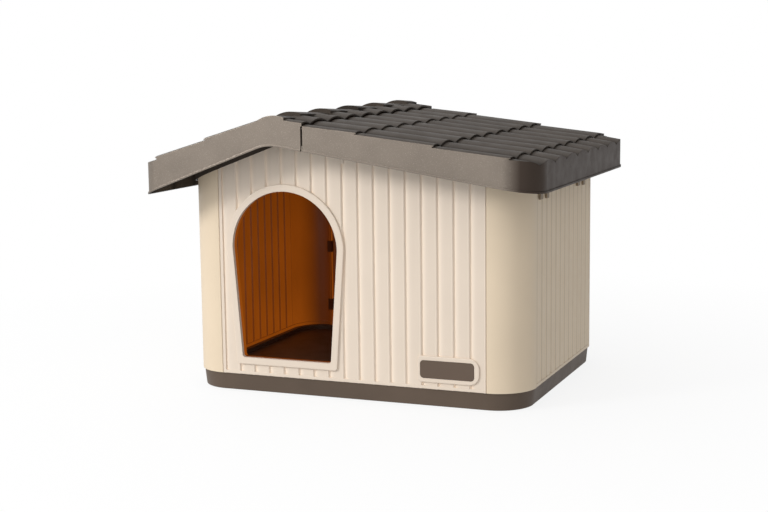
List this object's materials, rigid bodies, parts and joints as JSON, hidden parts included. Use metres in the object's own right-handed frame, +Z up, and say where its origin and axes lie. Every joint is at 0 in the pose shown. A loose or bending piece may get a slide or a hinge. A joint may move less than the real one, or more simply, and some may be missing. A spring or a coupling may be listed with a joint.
{
  "type": "plastic dog kennel",
  "caption": "Knock-down plastic kennel: dark tray base, ribbed panels with an arched doorway, barrel-tile roof in two shells, one of them a hinged lid.",
  "frame": {"origin": "on the ground, under the middle of the roof's bounding box", "axes": "+X to the right along the ribbed front, seen from outside; +Y from the doorway towards the rear wall; +Z up"},
  "size_m": [0.8724, 0.768, 0.6067],
  "materials": {
    "panel_plastic": "cream moulded polypropylene, fine satin grain",
    "tile_plastic": "grey-brown moulded polypropylene with a fine pale fleck, slight sheen on the fascia",
    "base_plastic": "dark brown moulded polypropylene, fine grain",
    "plate_plastic": "brown moulded plastic, blank",
    "clip_plastic": "khaki moulded plastic",
    "foot_rubber": "black rubber"
  },
  "bodies": {
    "kennel": {"base_tray": "base_plastic", "foot_left_front": "foot_rubber", "foot_left_rear": "foot_rubber", "foot_right_front": "foot_rubber", "foot_right_rear": "foot_rubber", "front_wall": "panel_plastic", "rear_wall": "panel_plastic", "left_side_wall": "panel_plastic", "right_side_wall": "panel_plastic", "name_plate": "plate_plastic", "corner_clips_front_left": "clip_plastic", "corner_clips_front_right": "clip_plastic", "corner_clips_rear_left": "clip_plastic", "corner_clips_rear_right": "clip_plastic", "roof_main": "tile_plastic", "hinge_pin_front": "clip_plastic", "hinge_pin_rear": "clip_plastic", "eave_catch_front_left": "clip_plastic", "eave_catch_rear_left": "clip_plastic"},
    "lid": {"roof_lid": "tile_plastic", "eave_catch_front_right": "clip_plastic", "eave_catch_rear_right": "clip_plastic"}
  },
  "joints": [
    {"name": "lid_hinge", "type": "hinge", "parent": "kennel", "child": "lid", "pos_m": [-0.0337, 0, 0.567], "axis": [0, -1, 0], "range_deg": [0, 105]}
  ]
}
